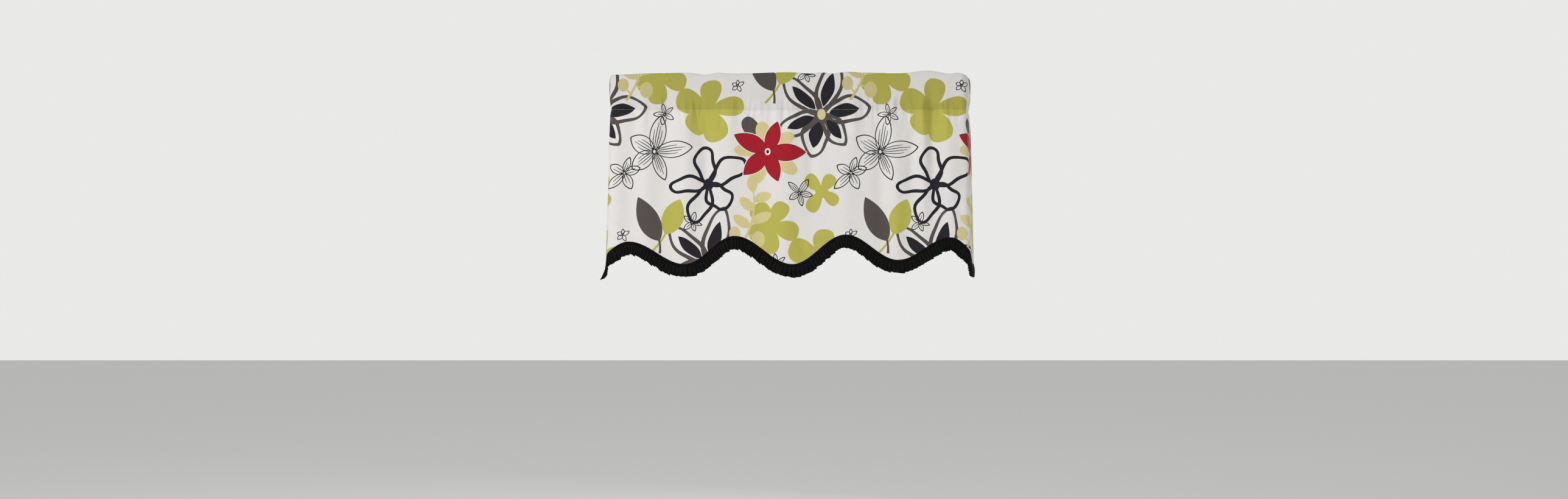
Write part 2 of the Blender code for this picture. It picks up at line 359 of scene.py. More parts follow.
def petals_round(seed, count, first, length, width, belly, tip, uneven=0.14):
    """Petals round a flower, each a little off its even turn and size."""
    chance = random.Random(seed)
    petals = []
    for number in range(count):
        turn = first + 360 * number / count + chance.uniform(-9, 9)
        long = length * (1 + chance.uniform(-uneven, uneven))
        wide = width * (1 + chance.uniform(-uneven, uneven))
        petals.append(Petal(turn, long, wide, belly, tip, chance.uniform(-0.07, 0.07)))
    return petals


def ahead_of(turn):
    return sin(radians(turn)), -cos(radians(turn))


def petal_sides(petal, start=(0.0, 0.0), waver=0.0, steps=20):
    """The two edges of a petal, each from its foot to its tip."""
    ahead = ahead_of(petal.turn)
    across = ahead_of(petal.turn + 90)
    peak = petal.belly / (petal.belly + petal.tip)
    fullest = peak ** petal.belly * (1 - peak) ** petal.tip
    edges = []
    for side in (-1, 1):
        edge = []
        for step in range(steps + 1):
            share = (1 - cos(pi * step / steps)) / 2
            half = share ** petal.belly * (1 - share) ** petal.tip / fullest
            half *= petal.width / 2 * (1 + waver * sin(8 * share + 2 * side + petal.turn))
            out = petal.bend * petal.length * share ** 2 + side * half
            along = petal.length * share
            edge.append((start[0] + ahead[0] * along + across[0] * out,
                         start[1] + ahead[1] * along + across[1] * out))
        edges.append(edge)
    return edges


def filled_petal(ink, petal, start=(0.0, 0.0), waver=0.0):
    left, right = petal_sides(petal, start, waver)
    return Shape(ink, left + right[-2:0:-1])


def brush(ink, route, widths):
    """A brush line along a route, its width passing evenly through `widths`."""
    near = []
    far = []
    last = len(route) - 1
    for here, (x, y) in enumerate(route):
        x0, y0 = route[max(0, here - 1)]
        x1, y1 = route[min(last, here + 1)]
        run = hypot(x1 - x0, y1 - y0) or 1.0
        half = np.interp(here / last, np.linspace(0, 1, len(widths)), widths) / 2
        near.append((x - (y1 - y0) / run * half, y + (x1 - x0) / run * half))
        far.append((x + (y1 - y0) / run * half, y - (x1 - x0) / run * half))
    return Shape(ink, near + far[::-1])


def stem(start, turn, length, curl, steps):
    """A route that leaves `start` at `turn` and curls by `curl` degrees on its way."""
    route = [start]
    for step in range(steps):
        x, y = ahead_of(turn + curl * (step + 0.5) / steps)
        route.append((route[-1][0] + x * length / steps, route[-1][1] + y * length / steps))
    return route


def oval(ink, centre, wide, tall, steps=18):
    turns = [2 * pi * step / steps for step in range(steps)]
    return Shape(ink, [(centre[0] + wide * cos(t), centre[1] + tall * sin(t)) for t in turns])


def open_petal(ink, petal, widths, waver=0.0, steps=20):
    """Both edges of a petal in brush lines, which meet in a round dab at its tip."""
    edges = petal_sides(petal, waver=waver, steps=steps)
    tip = edges[0][-1]
    return [brush(ink, edge, widths) for edge in edges] + [
        oval(ink, tip, widths[-1] / 2, widths[-1] / 2, 10)]


def lobed_flower(seed, count, first, length, width):
    lobes = petals_round(seed, count, first, length, width, 0.85, 0.40)
    return [filled_petal("lime", lobe) for lobe in lobes] + [oval("lime", (0, 0), 14, 14)]


def line_star(seed, first, length, width, line, veins):
    """A thin line drawing: open petals with a few veins, round a small eye."""
    shapes = []
    for petal in petals_round(seed, 5, first, length, width, 0.8, 0.8, 0.20):
        shapes += open_petal("line", petal, (line, line * 0.8, line, line * 1.2), steps=12)
        for vein in range(veins):
            share = (vein + 0.5) / veins * 2 - 1
            middle = petal._replace(width=petal.width * 0.66 * share)
            reach = 9 + (vein * 2 + seed) % 3
            route = petal_sides(middle, steps=14)[1][2:reach]
            shapes.append(brush("line", route, (line * 0.6, line * 0.8, line * 0.5)))
    eye = length * 0.05
    shapes.append(oval("line", (0, 0), eye * 1.4, eye * 1.6, 12))
    shapes.append(oval("ground", (0, 0), eye * 0.8, eye, 10))
    return shapes


def red_flower():
    shapes = [filled_petal("charcoal", Petal(318, 66, 34, 0.6, 0.4, 0.05), (-9, -20))]
    shapes += [filled_petal("olive", leaf)
               for leaf in petals_round(41, 5, 54, 72, 30, 0.8, 0.45)]
    petals = petals_round(42, 5, 18, 78, 34, 0.8, 0.92)
    for petal in petals:
        halo = petal._replace(length=petal.length + 2.5, width=petal.width + 3.2)
        shapes.append(filled_petal("ground", halo))
    for petal in petals:
        x, y = ahead_of(petal.turn)
        heart = petal._replace(length=petal.length - 3, width=petal.width - 2.4)
        shapes.append(filled_petal("deep_red", petal))
        shapes.append(filled_petal("red", heart, (1.2 * x, 1.2 * y)))
    shapes.append(oval("ground", (0, 0), 6.2, 7.6))
    shapes.append(oval("black", (0, 0), 3.1, 4.0, 12))
    return shapes


def lily():
    """A large open flower in charcoal brush lines, with a black tongue in each petal."""
    petals = petals_round(53, 6, 12, 104, 48, 0.85, 0.72, 0.24)
    shapes = []
    for petal in petals:
        shapes += open_petal("charcoal", petal, (6.0, 9.6, 7.6, 5.2, 7.2), 0.12)
    for petal in petals:
        x, y = ahead_of(petal.turn)
        tongue = petal._replace(length=petal.length * 0.62, width=petal.width * 0.54, tip=0.9)
        shapes.append(filled_petal("black", tongue, (17 * x, 17 * y), 0.08))
    return shapes + [oval("olive", (0, 0), 9, 12)]


def bold_flower():
    shapes = []
    for petal in petals_round(64, 5, 350, 74, 42, 0.78, 0.56, 0.24):
        shapes += open_petal("black", petal, (4.4, 6.6, 7.4, 6.0, 7.0), 0.20)
    return shapes + [oval("black", (0, 0), 11, 13)]


def leaf_pair():
    """A charcoal leaf lying over a lime one, each on its own stem."""
    return [
        filled_petal("lime", Petal(26, 80, 46, 0.75, 0.85, -0.06), (18, 24)),
        brush("lime", stem((24, 12), 204, 64, 22, 12), (4.6, 4.2, 4.8)),
        filled_petal("charcoal", Petal(330, 104, 46, 0.75, 0.95, 0.06), (6, 38)),
        brush("charcoal", stem((2, 28), 158, 38, 30, 10), (4.4, 4.2, 5.4)),
    ]


def seed_sprig():
    """A lime flower, and rising past its side an olive stem of leaves and seed heads."""
    shapes = lobed_flower(75, 5, 30, 58, 42)
    main = stem((-70, 52), 38, 132, -46, 14)
    shapes.append(brush("olive", main, (5.6, 4.6, 4.0, 3.2)))
    for knot, turn, long in ((6, 300, 42), (7, 62, 46), (10, 306, 38), (12, 66, 38), (14, 350, 36)):
        shapes.append(filled_petal("olive", Petal(turn, long, 22, 0.6, 0.6, 0.06), main[knot]))
    for knot, turn, wide in ((2, 308, 12), (4, 100, 14)):
        twig = stem(main[knot], turn, 26, 24, 5)
        shapes.append(brush("olive", twig, (3.8, 3.4, 3.8)))
        shapes.append(oval("olive", twig[-1], wide, wide * 1.25))
    return shapes


# The repeat is a half drop: the next column of flowers starts half a repeat lower.
REPEAT_WIDE = 480.0
REPEAT_TALL = 640.0
Motif = namedtuple("Motif", "draw along down")
MOTIFS = (
    Motif(lily, 0, 0),
    Motif(lambda: lobed_flower(31, 4, 42, 47, 29), 0, 165),
    Motif(lambda: lobed_flower(32, 5, 10, 70, 48), 240, -10),
    Motif(bold_flower, 240, 150),
    Motif(lambda: line_star(21, 16, 72, 31, 2.2, 4), 125, 80),
    Motif(leaf_pair, 132, 232),
    Motif(red_flower, 365, 80),
    Motif(seed_sprig, 372, 238),
    Motif(lambda: line_star(22, 6, 41, 17, 2.1, 2), 62, 126),
    Motif(lambda: line_star(23, 30, 29, 12, 2.0, 2), 432, 168),
    Motif(lambda: line_star(24, 340, 20, 9, 1.9, 1), 145, 0),
    Motif(lambda: line_star(25, 20, 20, 9, 1.9, 1), 206, 232),
    Motif(lambda: line_star(26, 0, 14, 7, 1.7, 0), 60, 258),
)
PRINT_SHIFT = (70.0, 90.0)    # where the repeat falls on this length of cloth
CLOTH_SPAN = (-452.0, 452.0, -88.0, 415.0)       # left, right, top and low


def print_shapes():
    """Every shape that falls on the cloth, the lowest layer first."""
    left, right, top, low = CLOTH_SPAN
    shapes = []
    for motif in MOTIFS:
        drawn = motif.draw()
        for column in range(-6, 7):
            for row in range(-2, 3):
                x = motif.along + PRINT_SHIFT[0] + column * REPEAT_WIDE / 2
                y = motif.down + PRINT_SHIFT[1] + (row + 0.5 * (column % 2)) * REPEAT_TALL
                for shape in drawn:
                    moved = [(x + px, y + py) for px, py in shape.outline]
                    xs, ys = zip(*moved)
                    if max(xs) > left and min(xs) < right and max(ys) > top and min(ys) < low:
                        shapes.append(Shape(shape.ink, moved))
    return shapes


# ---- materials ------------------------------------------------------------------
GROUND = (0.760, 0.738, 0.715)
INKS = {
    "ground": GROUND,
    "lime": (0.478, 0.448, 0.082),
    "olive": (0.650, 0.570, 0.265),
    "red": (0.375, 0.0055, 0.0175),
    "deep_red": (0.150, 0.006, 0.014),
    "charcoal": (0.086, 0.071, 0.069),
    "black": (0.012, 0.012, 0.017),
    "line": (0.016, 0.016, 0.022),
}
# Painted shade: the pocket's colours are darkened where the cloth is double and less light comes
# through it.
POCKET_PAINTED_SHADE_GROUND = 0.90         # painted shade on the pocket's ground: darkened in colour, as the double cloth lets little light through
POCKET_PAINTED_SHADE_INK = 0.82
POCKET_PAINTED_SHADE_FADE = (POCKET - 0.0010, POCKET + 0.0015)      # the painted shade ends across the stitch line
SHOW_THROUGH = 0.30           # how much of the print shows on the wrong side
WRONG_SIDE_TONE = 0.97
BAND_BLACK = (0.0030, 0.0028, 0.0032)
PLEAT_BLACK = (0.0032, 0.0030, 0.0034)
THREAD_CREAM = (0.56, 0.54, 0.51)

# Threads lie `pitch` apart and stand up by `depth`. `slub` is how uneven their tone is.
Weave = namedtuple("Weave", "pitch slub depth roughness sheen gloss")
PRINT_SIDE = Weave(0.00055, 0.035, 0.00010, 0.86, 0.10, 0.25)
WRONG_SIDE = Weave(0.00055, 0.040, 0.00012, 0.90, 0.12, 0.25)
BAND_WEAVE = Weave(0.00040, 0.25, 0.00008, 0.80, 0.005, 0.04)
PLEAT_WEAVE = Weave(0.00040, 0.30, 0.00008, 0.74, 0.005, 0.06)
THREAD_TWIST = Weave(0.00030, 0.05, 0.00004, 0.75, 0.10, 0.25)
SLUB_FINE = 900               # slubs are fine across the thread
SLUB_LONG = 70                # and long on the way it runs


def add_node(tree, kind, **settings):
    node = tree.nodes.new(kind)
    for key, value in settings.items():
        if key in node.inputs:
            node.inputs[key].default_value = value
        else:
            setattr(node, key, value)
    return node


def woven_material(name, colour, weave, pocket_shade=None):
    """Woven cotton on the piece's own flat map: slubs, threads and a soft crumple, and, where
    asked, painted shade darkening the pocket.
    """
    material = bpy.data.materials.new(name)
    material.use_nodes = True
    tree = material.node_tree
    link = tree.links.new
    shader = tree.nodes["Principled BSDF"]
    shader.inputs["Roughness"].default_value = weave.roughness
    shader.inputs["Sheen Weight"].default_value = weave.sheen
    shader.inputs["Sheen Roughness"].default_value = 0.5
    shader.inputs["Specular IOR Level"].default_value = weave.gloss
    flat = add_node(tree, "ShaderNodeUVMap", uv_map="flat").outputs["UV"]

    heights = []
    threads = []
    for axis, stretch in (("X", (SLUB_FINE, SLUB_LONG, 1)), ("Y", (SLUB_LONG, SLUB_FINE, 1))):
        wave = add_node(tree, "ShaderNodeTexWave", bands_direction=axis, Distortion=0.6)
        wave.inputs["Scale"].default_value = pi / 10 / weave.pitch      # a band to a thread
        link(flat, wave.inputs["Vector"])
        heights.append(wave.outputs["Fac"])
        grain = add_node(tree, "ShaderNodeMapping")
        grain.inputs["Scale"].default_value = stretch
        link(flat, grain.inputs["Vector"])
        slubs = add_node(tree, "ShaderNodeTexNoise", Scale=1.0, Detail=3.0)
        link(grain.outputs["Vector"], slubs.inputs["Vector"])
        threads.append(slubs.outputs["Fac"])
    woven = add_node(tree, "ShaderNodeMath", operation="MAXIMUM")
    link(heights[0], woven.inputs[0])
    link(heights[1], woven.inputs[1])
    grainy = add_node(tree, "ShaderNodeMath", operation="ADD")
    link(threads[0], grainy.inputs[0])
    link(threads[1], grainy.inputs[1])
    patchy = add_node(tree, "ShaderNodeTexNoise", Scale=26.0, Detail=4.0)
    link(flat, patchy.inputs["Vector"])
    mottled = add_node(tree, "ShaderNodeMath", operation="MULTIPLY_ADD")
    link(patchy.outputs["Fac"], mottled.inputs[0])
    mottled.inputs[1].default_value = 0.6
    link(grainy.outputs[0], mottled.inputs[2])

    ramp = add_node(tree, "ShaderNodeValToRGB")
    spread = add_node(tree, "ShaderNodeMapRange")
    spread.inputs["From Min"].default_value = 0.85
    spread.inputs["From Max"].default_value = 1.75
    link(mottled.outputs[0], spread.inputs["Value"])
    link(spread.outputs["Result"], ramp.inputs["Fac"])
    slub = weave.slub
    low = [channel * (1 - slub) for channel in colour]
    high = [min(1.0, channel * (1 + slub) + slub * 0.02) for channel in colour]
    ramp.color_ramp.elements[0].color = (*low, 1)
    ramp.color_ramp.elements[1].color = (*high, 1)
    shade = ramp.outputs["Color"]
    # painted shade darkens the pocket's colour
    if pocket_shade:
        shade = paint_pocket_shade(tree, flat, shade, pocket_shade)
    link(shade, shader.inputs["Base Color"])

    crumple = add_node(tree, "ShaderNodeTexNoise", Scale=55.0, Detail=5.0)
    link(flat, crumple.inputs["Vector"])
    soft = add_node(tree, "ShaderNodeBump", Strength=0.25, Distance=0.0006)
    link(crumple.outputs["Fac"], soft.inputs["Height"])
    threads_up = add_node(tree, "ShaderNodeBump", Strength=0.5, Distance=weave.depth)
    link(woven.outputs[0], threads_up.inputs["Height"])
    link(soft.outputs["Normal"], threads_up.inputs["Normal"])
    link(threads_up.outputs["Normal"], shader.inputs["Normal"])
    return material


def paint_pocket_shade(tree, flat, shade, shade_tone):
    """Painted shade: the pocket's colour is darkened, as less light comes through where the cloth
    is double.
    """
    spot = add_node(tree, "ShaderNodeSeparateXYZ")
    tree.links.new(flat, spot.inputs[0])
    painted_shade_factor = add_node(tree, "ShaderNodeMapRange")
    painted_shade_factor.inputs["From Min"].default_value = POCKET_PAINTED_SHADE_FADE[0]
    painted_shade_factor.inputs["From Max"].default_value = POCKET_PAINTED_SHADE_FADE[1]
    painted_shade_factor.inputs["To Min"].default_value = shade_tone
    painted_shade_factor.inputs["To Max"].default_value = 1.0
    tree.links.new(spot.outputs["Y"], painted_shade_factor.inputs["Value"])
    toned = add_node(tree, "ShaderNodeVectorMath", operation="SCALE")
    tree.links.new(shade, toned.inputs[0])
    tree.links.new(painted_shade_factor.outputs["Result"], toned.inputs["Scale"])
    return toned.outputs[0]


def cotton_materials():
    """One material for each ink on the print side, then for each on the wrong side."""
    made = []
    for ink, colour in INKS.items():
        # painted shade on the pocket: the inks are darkened more than the ground
        shade_tone = POCKET_PAINTED_SHADE_GROUND if ink == "ground" else POCKET_PAINTED_SHADE_INK
        made.append(woven_material(f"cotton_{ink}", colour, PRINT_SIDE, pocket_shade=shade_tone))
    for ink, colour in INKS.items():
        pale = [g * WRONG_SIDE_TONE + (c - g) * SHOW_THROUGH for g, c in zip(GROUND, colour)]
        made.append(woven_material(f"cotton_{ink}_wrong_side", pale, WRONG_SIDE))
    return made


# ---- the printed cloth ------------------------------------------------------------
def new_piece(name, points, faces, flat, materials):
    """A mesh object with its flat map, in metres, from points and faces."""
    data = bpy.data.meshes.new(name)
    data.from_pydata(points.tolist(), [], [tuple(face) for face in faces])
    layer = data.uv_layers.new(name="flat")
    corners = np.zeros(len(data.loops), dtype=np.int32)
    data.loops.foreach_get("vertex_index", corners)
    layer.data.foreach_set("uv", np.ascontiguousarray(flat[corners], dtype=np.float32).ravel())
    data.shade_smooth()
    for material in materials:
        data.materials.append(material)
    made = bpy.data.objects.new(name, data)
    bpy.context.scene.collection.objects.link(made)
    return made


def select_only(piece):
    bpy.ops.object.select_all(action="DESELECT")
    piece.select_set(True)
    bpy.context.view_layer.objects.active = piece


def apply_solidify(piece, thickness):
    solid = piece.modifiers.new("thickness", "SOLIDIFY")
    solid.thickness = thickness
    solid.offset = -1.0
    select_only(piece)
    bpy.ops.object.modifier_apply(modifier=solid.name)


def within(outline, places):
    """Which places lie inside an outline, wherever it winds round them."""
    winding = np.zeros(len(places), dtype=int)
    px, py = places.T
    for (x0, y0), (x1, y1) in zip(outline, outline[1:] + outline[:1]):
        side = (x1 - x0) * (py - y0) - (px - x0) * (y1 - y0)
        winding += ((y0 <= py) & (y1 > py) & (side > 0)).astype(int)
        winding -= ((y0 > py) & (y1 <= py) & (side < 0)).astype(int)
    return winding != 0


def mesh_rows():
    """Down the cloth in millimetres: each row's place and the spacing along it."""
    top = -(POCKET + SEAM_LIP) / MM
    rows = []
    down = top
    while down < LOWEST / MM:
        fine = STITCH_ZONE[0] < down < STITCH_ZONE[1] or BACK_ZONE[0] < down < BACK_ZONE[1]
        spacing = STITCH_MESH if fine else BODY_MESH
        rows.append((down, spacing))
        near_fold = max(FOLD_MESH, min(abs(down) * FOLD_MESH_GROWTH, BODY_MESH))
        down += min(spacing, near_fold) * ROW_SHARE
    return rows


def build_cloth():
    """The cloth's mesh follows the edges of the print, so every ink has a clean edge."""
    shapes = print_shapes()
    rows = mesh_rows()
    half = HALF_LENGTH / MM
    top = -(POCKET + SEAM_LIP) / MM
    points = []
    edges = []

    def add_outline(outline):
        first = len(points)
        points.extend((float(x), float(y)) for x, y in outline)
        last = len(points) - 1
        edges.extend((here, here + 1) for here in range(first, last))
        edges.append((last, first))

    for shape in shapes:
        add_outline(shape.outline)
    hem_along = np.linspace(-half, half, HEM_STEPS)
    hem_down = eased(SCALLOPS, hem_along * MM) / MM
    ends = [down for down, _ in rows if top < down]
    turned_edge = [(along, top) for along in np.linspace(-half, half, TURNED_EDGE_STEPS)]
    right_end = [(half, down) for down in ends if down < hem_down[-1] - CLEAR_OF_EDGE]
    left_end = [(-half, down) for down in reversed(ends) if down < hem_down[0] - CLEAR_OF_EDGE]
    hem = list(zip(hem_along[::-1], hem_down[::-1]))
    add_outline(turned_edge + right_end + hem + left_end)
    for row, (down, spacing) in enumerate(rows):
        line = np.arange(-half + spacing * (0.5 + 0.5 * (row % 2)), half, spacing)
        kept = down < np.interp(line, hem_along, hem_down) - CLEAR_OF_EDGE
        points.extend((float(x), down) for x in line[kept] if down > top)

    verts, _, faces = delaunay_2d_cdt(points, edges, [], 0, WELD, False)[:3]
    flat = np.array([tuple(vert) for vert in verts])
    faces = np.array(faces)
    middle = flat[faces].mean(axis=1)
    low = np.interp(middle[:, 0], hem_along, hem_down)
    kept = (np.abs(middle[:, 0]) < half) & (middle[:, 1] > top) & (middle[:, 1] < low)
    faces, middle = faces[kept], middle[kept]

    order = list(INKS)
    ink = np.zeros(len(faces), dtype=np.int32)
    for shape in shapes:
        outline = np.array(shape.outline)
        (x0, y0), (x1, y1) = outline.min(axis=0), outline.max(axis=0)
        near = np.nonzero((middle[:, 0] > x0) & (middle[:, 0] < x1)
                          & (middle[:, 1] > y0) & (middle[:, 1] < y1))[0]
        inside = near[within(shape.outline, middle[near])]
        ink[inside] = order.index(shape.ink)

    used, faces = np.unique(faces, return_inverse=True)
    faces = faces.reshape(-1, 3)[:, ::-1]
    flat = flat[used] * MM
    return two_sided_cloth(flat, faces, ink)


def two_sided_cloth(flat, faces, ink):
    """The print side, the wrong side a sheet's thickness behind it, and the cut edges."""
    outer = cloth_surface(flat[:, 0], flat[:, 1])
    facing = cloth_normals(flat[:, 0], flat[:, 1])
    count = len(flat)
    sides = np.concatenate([faces[:, [0, 1]], faces[:, [1, 2]], faces[:, [2, 0]]])
    _, first, uses = np.unique(np.sort(sides, axis=1), axis=0, return_index=True,
                               return_counts=True)
    rim = sides[first[uses == 1]]
    rim = np.stack([rim[:, 1], rim[:, 0], rim[:, 0] + count, rim[:, 1] + count], axis=1)
    every = faces.tolist() + (faces[:, ::-1] + count).tolist() + rim.tolist()
    cloth = new_piece("printed_cloth", np.concatenate([outer, outer - facing * SHEET]), every,
                      np.concatenate([flat, flat]), cotton_materials())
    inks = np.concatenate([ink, ink + len(INKS), np.zeros(len(rim), dtype=int)])
    cloth.data.polygons.foreach_set("material_index", inks.astype(np.int32))
    cloth.data.normals_split_custom_set_from_vertices(np.concatenate([facing, -facing]))
    return cloth


# ---- the trim ---------------------------------------------------------------------
EDGE_STEPS = 1200
BAND_STEPS = 420
BAND_RING = 10
BAND_SQUARE = 0.6             # a round section is 1, a square one near 0
BAND_UNEVEN = 0.10


def trim_points(along, drop, out):
    """Points of the trim, `drop` below the cloth's lower edge."""
    edge = eased(SCALLOPS, along)
    step = 0.001
    start = place(along - step, eased(SCALLOPS, along - step), np.zeros_like(along))
    end = place(along + step, eased(SCALLOPS, along + step), np.zeros_like(along))
    normal = plan(along, edge)[1]
    square = np.cross(normal, end - start)
    square /= np.linalg.norm(square, axis=-1, keepdims=True)
    square *= np.where(square[..., 2:] > 0, -1, 1)
    fall = square * (1 - TRIM_UPRIGHT) + np.array([0, 0, -TRIM_UPRIGHT])
    fall /= np.linalg.norm(fall, axis=-1, keepdims=True)
    lift = relief(along, edge) + fine_out(along, edge) + THICK / 2 + out
    lift += eased(KICKS, along) * (drop / TRIM_DEEP) ** 2
    return place(along, edge, lift) + fall * drop[..., None]


def edge_run():
    """Distance run along the scalloped edge at even steps of `along`."""
    along = np.linspace(-HALF_LENGTH, HALF_LENGTH, EDGE_STEPS)
    points = place(along, eased(SCALLOPS, along), np.zeros_like(along))
    steps = np.linalg.norm(np.diff(points, axis=0), axis=1)
    return np.concatenate([[0], np.cumsum(steps)]), along


def grid_faces(rows, columns, round_it=False):
    """Quads between rows of points, closed round each row if asked."""
    faces = []
    for row in range(rows - 1):
        for column in range(columns if round_it else columns - 1):
            after = (column + 1) % columns
            faces.append((row * columns + column, row * columns + after,
                          (row + 1) * columns + after, (row + 1) * columns + column))
    return faces


def build_band():
    """The plain band: a strip folded round the head of the pleats."""
    run, places = edge_run()
    at = np.linspace(0, run[-1], BAND_STEPS)
    along = np.interp(at, run, places)
    turn = 2 * pi * np.arange(BAND_RING) / BAND_RING
    across = np.sign(np.cos(turn)) * np.abs(np.cos(turn)) ** BAND_SQUARE
    through = np.sign(np.sin(turn)) * np.abs(np.sin(turn)) ** BAND_SQUARE
    deep = (BAND_DEEP + BAND_LAP) / 2
    uneven = 1 + BAND_UNEVEN * np.sin(at / 0.0031) * np.sin(at / 0.0170 + 1)
    drop = deep * (1 + across[None, :]) - BAND_LAP + 0 * along[:, None]
    out = BAND_THICK / 2 * through[None, :] * uneven[:, None]
    wide = np.repeat(along[:, None], BAND_RING, axis=1)
    points = trim_points(wide.ravel(), drop.ravel(), out.ravel())
    flat = np.stack([np.repeat(at, BAND_RING), np.tile(turn, BAND_STEPS) * deep], axis=1)
    faces = grid_faces(BAND_STEPS, BAND_RING, True)
    faces.append(tuple(range(BAND_RING)))
    faces.append(tuple(range((BAND_STEPS - 1) * BAND_RING, BAND_STEPS * BAND_RING)))
    material = woven_material("black_band", BAND_BLACK, BAND_WEAVE)
    band = new_piece("trim_band_strip", points, faces, flat, [material])
    face_outwards(band)
    return band


def face_outwards(piece):
    select_only(piece)
    bpy.ops.object.mode_set(mode="EDIT")
    bpy.ops.mesh.select_all(action="SELECT")
    bpy.ops.mesh.normals_make_consistent(inside=False)
    bpy.ops.object.mode_set(mode="OBJECT")


# The way the strip runs through one pleat, in shares of the pitch and of the rise.
Turn = namedtuple("Turn", "run rise")
PLEAT_TURNS = (
    Turn(0.00, 0.50),
    Turn(0.34, 0.66),
    Turn(0.68, 0.88),
    Turn(0.94, 1.00),
    Turn(1.03, 0.92),
    Turn(0.95, 0.68),
    Turn(0.72, 0.44),
    Turn(0.64, 0.24),
    Turn(0.72, 0.08),
)
PLEAT_HEAD = 0.0019           # rise of a pleat under the band
PLEAT_FOOT = 0.0050           # and at its free edge
PLEAT_OPENED = 0.7            # pleats open out towards the ends, by this share
PLEAT_START = 0.02            # each begins here in its pitch
PLEAT_SHARE = 0.96            # and takes up this much of it
PLEAT_TUCKED = 0.0008         # its head goes this far under the band
PLEAT_SHORTER = 0.0022        # its inner folds end this much higher
PLEAT_SET_BACK = 0.0010
PLEAT_SHEET = 0.0003
PLEAT_ROWS = 8
STRIP_STEP = 0.27             # strip from one line of a pleat to the next, in pitches


def build_pleats():
    """One strip folded over and back on itself into pleats all along the edge."""
    run, places = edge_run()
    count = round(run[-1] / PLEAT_PITCH)
    pitch = run[-1] / count
    chance = random.Random(7)
    share = np.linspace(0, 1, PLEAT_ROWS)
    columns = []
    for pleat in range(count):
        shift = chance.uniform(-0.08, 0.08)
        sway = chance.uniform(-0.10, 0.16)
        length = TRIM_DEEP * (1 + chance.uniform(-0.05, 0.05))
        fullness = chance.uniform(0.85, 1.15)
        middle = float(np.interp((pleat + 0.5) * pitch, run, places))
        opened = max(0.0, abs(middle) - FRONT_HALF) / (HALF_LENGTH - FRONT_HALF)
        fullness *= 1 + PLEAT_OPENED * opened
        for turn in PLEAT_TURNS:
            bottom = length - PLEAT_SHORTER * (1 - turn.rise)
            spot = (turn.run + shift + sway * share ** 2) * PLEAT_SHARE
            at = (pleat + PLEAT_START + spot) * pitch
            rise = (PLEAT_HEAD + (PLEAT_FOOT - PLEAT_HEAD) * share ** 0.8) * fullness
            head = BAND_DEEP - PLEAT_TUCKED
            columns.append((np.clip(at, 0, run[-1]), head + (bottom - head) * share,
                            rise * turn.rise - PLEAT_SET_BACK))
    at, drop, out = (np.array(part).T for part in zip(*columns))
    along = np.interp(at, run, places)
    points = trim_points(along.ravel(), drop.ravel(), out.ravel())
    steps = np.full(len(columns) - 1, pitch * STRIP_STEP)
    strip_run = np.cumsum(np.concatenate([[0], steps]))
    flat = np.stack([np.tile(strip_run, PLEAT_ROWS), -drop.ravel()], axis=1)
    material = woven_material("black_pleats", PLEAT_BLACK, PLEAT_WEAVE)
    faces = [face[::-1] for face in grid_faces(PLEAT_ROWS, len(columns))]
    pleats = new_piece("pleated_strip", points, faces, flat, [material])
    apply_solidify(pleats, PLEAT_SHEET)
    return pleats


# ---- the stitches ------------------------------------------------------------------
STITCH_PITCH = 0.0031
STITCH_LONG = 0.0023
STITCH_THREAD = 0.00034
STITCH_SIGHT = 0.0005         # the cloth's run at a stitch is taken this far each way
STITCH_WANDER = 0.0002
STITCH_BOW = 0.7              # a stitch's middle bows out by this, in threads,
STITCH_PROUD = 0.25           # and the whole of it stands out by this
STITCH_MARGIN = 0.003         # the row stops this far from each back edge


def one_stitch():
    """A short length of thread that dips into the cloth at both ends."""
    bpy.ops.object.select_all(action="DESELECT")
    bpy.ops.mesh.primitive_cylinder_add(vertices=6, radius=STITCH_THREAD / 2,
                                        depth=STITCH_LONG, rotation=(0, pi / 2, 0))
    stitch = bpy.context.object
    bpy.ops.object.transform_apply(location=True, rotation=True, scale=True)
    bpy.ops.object.mode_set(mode="EDIT")
    bpy.ops.mesh.select_all(action="SELECT")
    bpy.ops.mesh.bisect(plane_co=(0, 0, 0), plane_no=(1, 0, 0))
    bpy.ops.object.mode_set(mode="OBJECT")
    for vert in stitch.data.vertices:
        if abs(vert.co.x) < STITCH_LONG / 4:
            vert.co.y -= STITCH_THREAD * STITCH_BOW
    return stitch


def build_stitches():
    """The row of stitches that closes the rod pocket."""
    model = one_stitch()
    base = np.array([tuple(vert.co) for vert in model.data.vertices])
    sides = [tuple(face.vertices) for face in model.data.polygons]
    bpy.data.objects.remove(model, do_unlink=True)
    chance = random.Random(5)
    ends = HALF_LENGTH - STITCH_MARGIN
    points = []
    faces = []
    flat = []
    for row in np.arange(-ends, ends, STITCH_PITCH):
        along = np.array([row - STITCH_SIGHT, row + STITCH_SIGHT])
        down = POCKET + chance.uniform(-STITCH_WANDER, STITCH_WANDER)
        pair = cloth_surface(along, np.full(2, down))
        ahead = (pair[1] - pair[0]) / np.linalg.norm(pair[1] - pair[0])
        outward = plan(along[:1], np.array([down]))[1][0]
        up = np.cross(ahead, -outward)
        up /= np.linalg.norm(up)
        axes = np.array([ahead, np.cross(up, ahead), up])
        faces += [tuple(corner + len(points) for corner in side) for side in sides]
        centre = pair.mean(axis=0) + outward * STITCH_THREAD * STITCH_PROUD
        points += (centre + base @ axes).tolist()
        flat += (base[:, [0, 2]] + [row, 0]).tolist()
    material = woven_material("stitching_thread", THREAD_CREAM, THREAD_TWIST)
    stitches = new_piece("pocket_stitches", np.array(points), faces, np.array(flat), [material])
    face_outwards(stitches)
    return stitches


